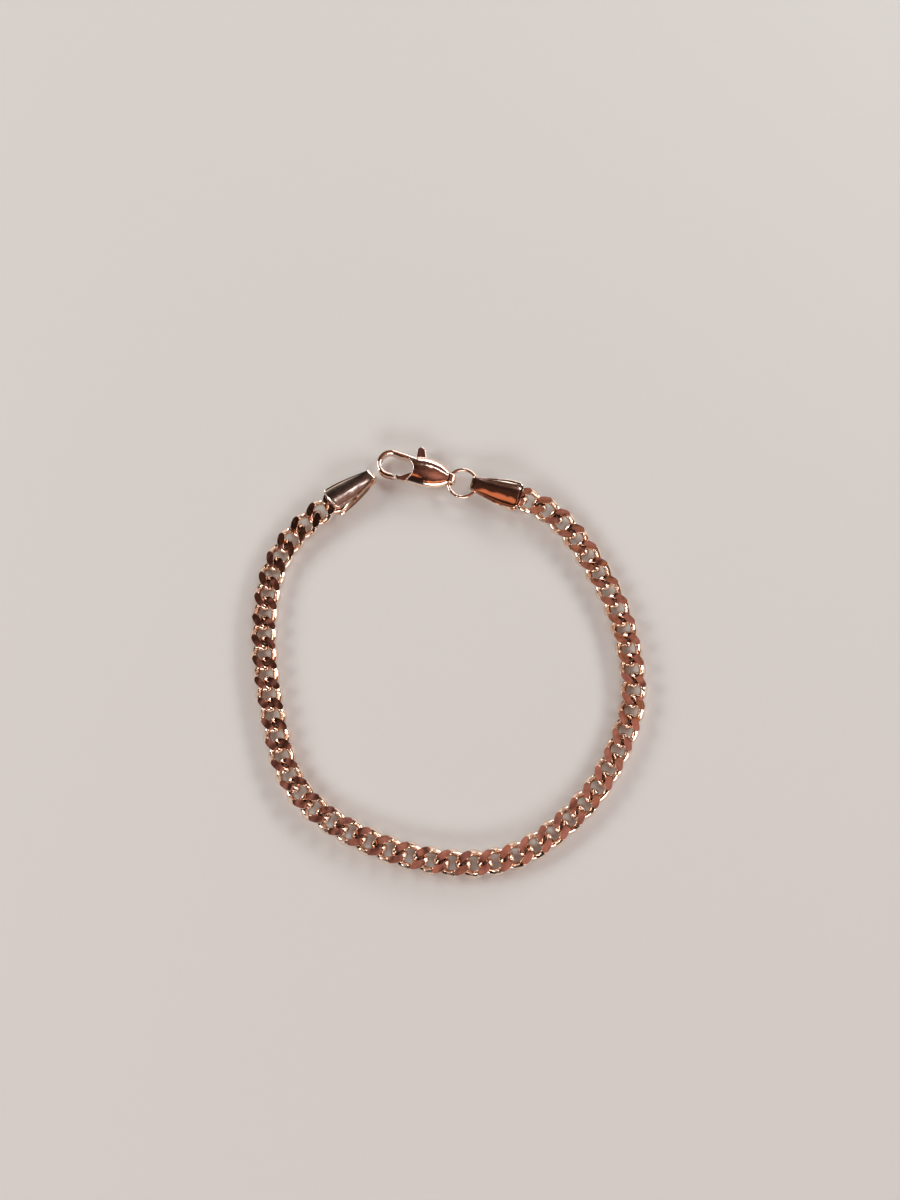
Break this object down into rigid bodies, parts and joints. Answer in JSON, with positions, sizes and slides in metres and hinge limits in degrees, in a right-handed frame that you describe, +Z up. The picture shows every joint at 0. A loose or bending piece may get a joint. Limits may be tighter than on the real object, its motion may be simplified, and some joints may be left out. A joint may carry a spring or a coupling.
{
  "type": "curb chain bracelet",
  "caption": "Flat curb chain bracelet of twisted, diamond-cut links, lying open, with folded end caps, a jump ring and a lobster clasp whose lever opens.",
  "frame": {"origin": "on the surface that the bracelet lies on, under the middle of its box", "axes": "+Z up from the surface, +Y towards the clasp along the loop's longest extent, +X towards the side of the right end cap"},
  "size_m": [0.0614, 0.068, 0.0034],
  "materials": {
    "rose_gold_links": "polished, pale rose gold plate, diamond-cut flats",
    "rose_gold_caps": "polished, pale rose gold plate",
    "rose_gold_ring": "polished, pale rose gold plate",
    "rose_gold_clasp": "polished, pale rose gold plate"
  },
  "bodies": {
    "bracelet": {"curb_chain": "rose_gold_links", "left_end_cap": "rose_gold_caps", "right_end_cap": "rose_gold_caps", "jump_ring": "rose_gold_ring", "clasp_body": "rose_gold_clasp", "lever_pin": "rose_gold_clasp"},
    "lever": {"clasp_lever": "rose_gold_clasp"}
  },
  "joints": [
    {"name": "lever_hinge", "type": "hinge", "parent": "bracelet", "child": "lever", "pos_m": [-0.0042, 0.0304, 0.00137], "axis": [0, 0, -1], "range_deg": [0, 25], "stiffness_Nm_per_rad": 0.001, "springref_deg": -28.65}
  ]
}
